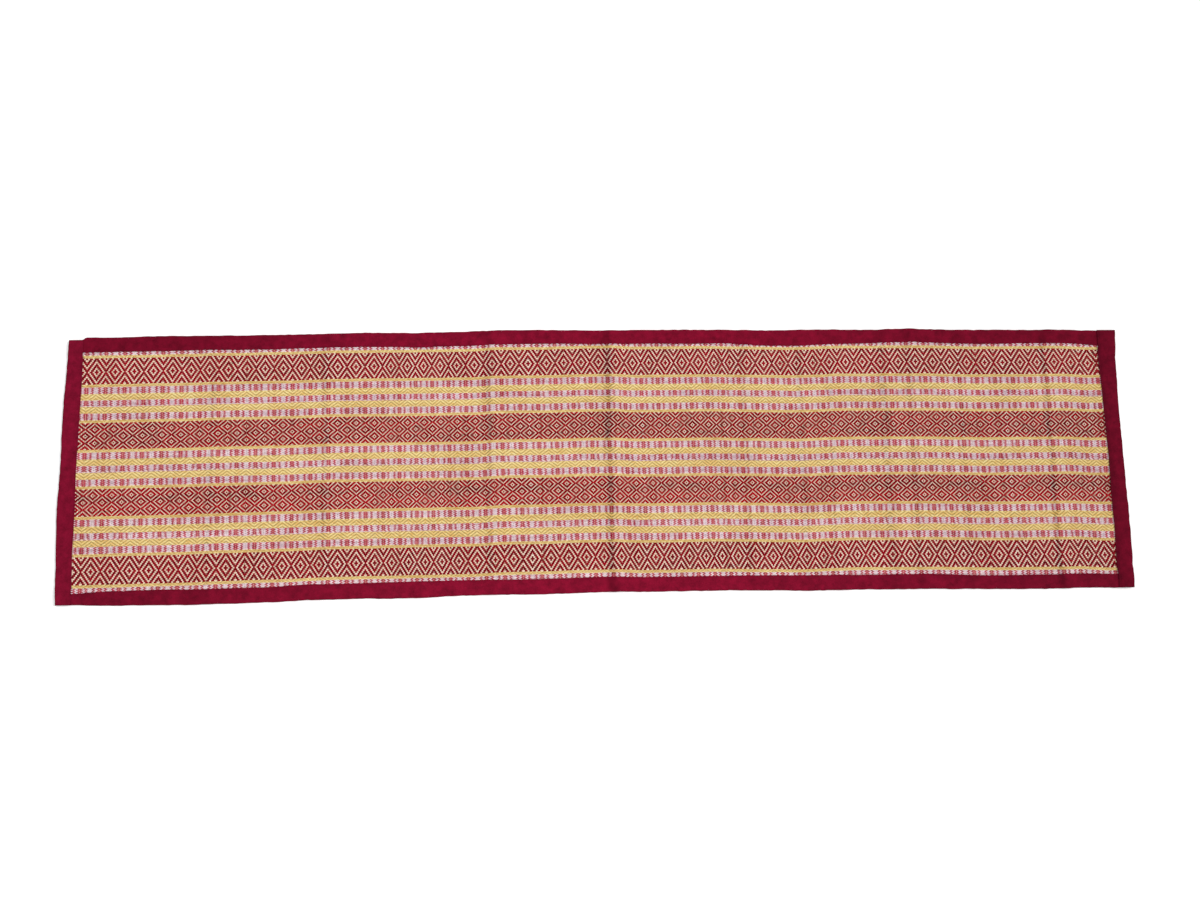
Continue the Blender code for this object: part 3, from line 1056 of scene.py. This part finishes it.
# A section's points in order: the line that each is measured from, how far inside the tape it is from
# that line, the leg, and how far it is above the leg's outer face
SectionPoint = namedtuple("SectionPoint", "line inset leg above")
SECTION = [SectionPoint(*point) for point in [
    ("edge", 0.0, "low", 0.4), ("edge", 0.5, "low", 0.0), ("edge", 8.0, "low", 0.0),
    ("fold", 4.0, "low", 0.0), ("fold", 1.5, "low", 0.2), ("fold", 0.4, "low", 1.0),
    ("fold", 0.0, "high", -2.2), ("fold", 0.4, "high", -1.1), ("fold", 1.4, "high", -0.35),
    ("fold", 3.2, "high", -0.05), ("fold", 6.5, "high", 0.1), ("fold", 9.0, "high", -0.02),
    ("fold", 10.0, "high", 0.06), ("edge", 6.5, "high", 0.15), ("edge", 3.8, "high", 0.0),
    ("edge", SEAM_INSET, "high", -0.35), ("edge", 1.2, "high", -0.05), ("edge", 0.4, "high", -0.1),
    ("edge", 0.0, "high", -0.4), ("edge", 0.5, "high", -0.75), ("edge", 8.0, "high", -TAPE_THICK),
    ("fold", 1.8, "high", -1.1), ("fold", 1.1, "high", -2.2), ("fold", 1.8, "low", 1.1),
    ("edge", 8.0, "low", TAPE_THICK), ("edge", 0.5, "low", 0.75),
]]

# How far the fold and the inner edge stray, and over what length, in a short wave and a long one
STRAYS = {"fold": ((0.35, 7), (0.3, 19)), "edge": ((0.25, 9), (0.2, 31))}
PUCKER = 0.22
WAVE = 0.3


def straying(outline, column, seed):
    """The fold or the inner edge of a tape, not quite straight."""
    (short, short_reach), (long, long_reach) = STRAYS[column]
    short_wave = short * hills(outline.at, 0, short_reach, 1, seed)
    return getattr(outline, column) + short_wave + long * hills(outline.at, 9, long_reach, 1, seed)


def tape_sections(side, seed):
    """The sections of one tape as an array of rings."""
    axis, outward = TAPES[side].axis, TAPES[side].outward
    outline = outlines[side]
    at = outline.at
    lift = rippled(*turned(axis, at, outline.fold, 0)[:2])
    fold, edge = straying(outline, "fold", seed), straying(outline, "edge", seed + 1)
    ring = []
    for point in SECTION:
        line, inside = (fold, -outward) if point.line == "fold" else (edge, outward)
        across = line + inside * point.inset
        share = np.clip((across - outline.fold) / (outline.edge - outline.fold), 0, 1)
        if point.leg == "low":
            height = outline.low + point.above
        else:
            leg = outline.high_fold * (1 - share) + outline.high_edge * share
            pucker = PUCKER * (1 + hills(at, across, 5, 6, seed + 2)) * share ** 2
            wave = WAVE * (1 + hills(at, across, 17, 9, seed + 3)) * (1 - share)
            height = leg + lift * share + pucker + wave + point.above
        ring.append(np.stack(turned(axis, at, across, height), 1))
    return np.stack(ring, 1)


print("points in a section:", len(SECTION))

# %% [markdown]
# ## Cotton tape
# The tape is woven from fine maroon cotton, so it is matt and even, with a faint mottle where the dye
# took unevenly. Its threads are about 0.4 mm apart. That is too fine for the render and for the stored
# maps, so they are drawn 1.2 mm apart.

# %% Tape material
TAPE_THREAD = 1.2
# How strongly the painted shade darkens a tape
PAINTED_SHADE_ON_TAPE = 0.4
GRAIN_SHARE = 0.45
# Each tape's deep and pale dye. The right tape's are darker, painted shade for the dimmer light at that
# end.
TAPE_DYES_AND_SHADE = {
    "far": ("#540418", "#820C2A"), "near": ("#56051A", "#860E2C"),
    "left": ("#56051A", "#800E2C"), "right": ("#480214", "#6E0822"),
}


def cotton_tape(name, deep, pale):
    """Plain-woven dyed tape: mottled colour with the threads as a fine grid of bumps."""
    made, tree, shader = new_material(name, Roughness=0.9, Specular_IOR_Level=0.05)
    place = add(tree, "TexCoord").outputs["Object"]
    mottle, grain = noise(tree, place, 90.0, 4.0), noise(tree, place, 700.0)
    both = add(tree, "Mix", {0: GRAIN_SHARE, 2: mottle, 3: grain}).outputs[0]
    even = add(tree, "MapRange", {"Value": both, "From Min": 0.3, "From Max": 0.7}).outputs[0]
    dyed = mixed(tree, even, colour(deep), colour(pale))
    threads = {"Vector": place, "Scale": 1 / (TAPE_THREAD * MM * WAVES)}
    warp, weft = (add(tree, "TexWave", threads, bands_direction=way).outputs[1] for way in "XY")
    woven = worked_out(tree, "MULTIPLY", warp, weft)
    coloured(tree, shader, with_painted_shade(tree, dyed, PAINTED_SHADE_ON_TAPE), woven, strength=0.5, distance=0.15)
    return made


# %% Tapes
# All of this is painted shade: the long tapes are darker towards their ends, where the light is dimmer,
# and the end tapes along their inner edge. The right one also has a faint line of it at an older fold.
Strip = namedtuple("Strip", "dust start end")
LONG_TAPE_ENDS = Strip(0.58, 200, 850)
INNER_STRIPS = {"left": Strip(0.3, 2, 12), "right": Strip(0.6, 3, 9)}
FOLD_LINE = 0.12
FOLD_LINE_INSET = 14
FOLD_LINE_WIDTH = 2


def tape_painted_shade(side, x, y):
    """How much painted shade places on a tape get."""
    dust = crease_painted_shade(x, y, wider=1.5)
    if TAPES[side].axis == 0:
        return dust + LONG_TAPE_ENDS.dust * smooth_step(abs(x), LONG_TAPE_ENDS.start, LONG_TAPE_ENDS.end)
    from_edge = abs(x - line_of(side, "edge", y))
    strip = INNER_STRIPS[side]
    dust = dust + strip.dust * (1 - smooth_step(from_edge, strip.start, strip.end))
    if side == "right":
        dust = dust + FOLD_LINE * np.exp(-(((from_edge - FOLD_LINE_INSET) / FOLD_LINE_WIDTH) ** 2))
    return dust


tapes, sections = [], {}
for number, (side, (node, axis, outward, _)) in enumerate(TAPES.items()):
    sections[side] = tape_sections(side, seed=50 + 10 * number)
    rings = sections[side] if outward < 0 else sections[side][:, ::-1]
    finish = cotton_tape(f"maroon_cotton_{side}_tape", *TAPE_DYES_AND_SHADE[side])
    name = node.replace("binding", "tape")
    tape = tube(name, rings, finish, map_rows=4 if axis == 0 else 1)
    add_values(tape, "dust", tape_painted_shade(side, rings[:, :, 0], rings[:, :, 1]))
    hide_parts(node)
    tapes.append(tape)

# %% [markdown]
# ## The stitches
# One row of lockstitch in maroon thread runs along each tape, 2 mm from its inner edge. A stitch is a
# short, tight pillow in the groove that it pulls.

# %% Stitches
STITCH = 3.4
HALF_GAP = 0.35
THREAD = 0.55
THREAD_BASE = 0.1
BARE_SECTIONS = 3
groove = [number for number, point in enumerate(SECTION) if point.inset == SEAM_INSET][0]


def seam_stitches(finish):
    """All the stitches of the four seams in one piece."""
    starts, ends = [], []
    for rings in sections.values():
        line = rings[BARE_SECTIONS:-BARE_SECTIONS, groove]
        walked = np.concatenate([[0], np.cumsum(np.linalg.norm(np.diff(line, axis=0), axis=1))])
        marks = np.arange(0, walked[-1] - STITCH, STITCH)
        for places, kept in ((marks + HALF_GAP, starts), (marks + STITCH - HALF_GAP, ends)):
            kept.append(np.stack([np.interp(places, walked, line[:, i]) for i in range(3)], 1))
    start, end = np.concatenate(starts), np.concatenate(ends)
    rng = np.random.default_rng(91)
    width = np.full(len(start), THREAD / 2)
    crest = rng.uniform(0.25, 0.35, len(start))
    tone = rng.uniform(0.2, 0.8, len(start))
    return pillows("seam_stitches", start, end, width, THREAD_BASE, crest, tone, finish, "cotton_tape")


stitches = seam_stitches(cotton_yarn("maroon_sewing_thread", "#3E0614", "#560A1C", "#801630"))

# %% [markdown]
# ## The sheet
# The mat is one sheet of cloth that is laid flat. The yarns, the tapes and the stitches are separate pieces
# on it.

# %% [markdown]
# ## Floor and light
# The floor is plain and nearly white, as the photograph's ground is. The light is that of a studio: a
# large soft lamp above, a little to the right, so that the left side of each crease is dark, and an
# even glow from all round that fills the shadows.

# %% Floor
FLOOR_HALF = 30000.0
FLOOR_Z = -0.05


def floor_piece():
    """A large painted board under the mat."""
    corners = [(x * FLOOR_HALF, y * FLOOR_HALF, FLOOR_Z) for x, y in ((-1, -1), (1, -1), (1, 1), (-1, 1))]
    mesh = bpy.data.meshes.new("floor")
    mesh.from_pydata([[part * MM for part in corner] for corner in corners], [], [(0, 1, 2, 3)])
    made, tree, shader = new_material("white_painted_board", Roughness=0.9)
    place = add(tree, "TexCoord").outputs["Object"]
    coloured(tree, shader, mixed(tree, noise(tree, place, 300.0), colour("#F4F4F4"), colour("#F8F8F8")))
    mesh.materials.append(made)
    floor = placed("floor", mesh)


floor_piece()

# %% Light
def lamp(kind, name, place, energy, **settings):
    """A lamp that points at the middle of the mat."""
    data = bpy.data.lights.new(name, kind)
    data.energy = energy
    for setting, value in settings.items():
        setattr(data, setting, value)
    made = placed(name, data)
    made.location = place
    made.rotation_euler = (-Vector(place)).to_track_quat("-Z", "Y").to_euler()
    print("lamp:", name, energy)


lamp("SUN", "key", (3.0, 0.5, 2.6), 1.9, angle=math.radians(20))
lamp("AREA", "overhead", (-0.25, 0.1, 2.2), 22.0, size=1.2)
world = bpy.data.worlds.new("studio")
world.use_nodes = True
world.node_tree.nodes["Background"].inputs["Color"].default_value = (1, 1, 1, 1)
world.node_tree.nodes["Background"].inputs["Strength"].default_value = 0.6
bpy.context.scene.world = world
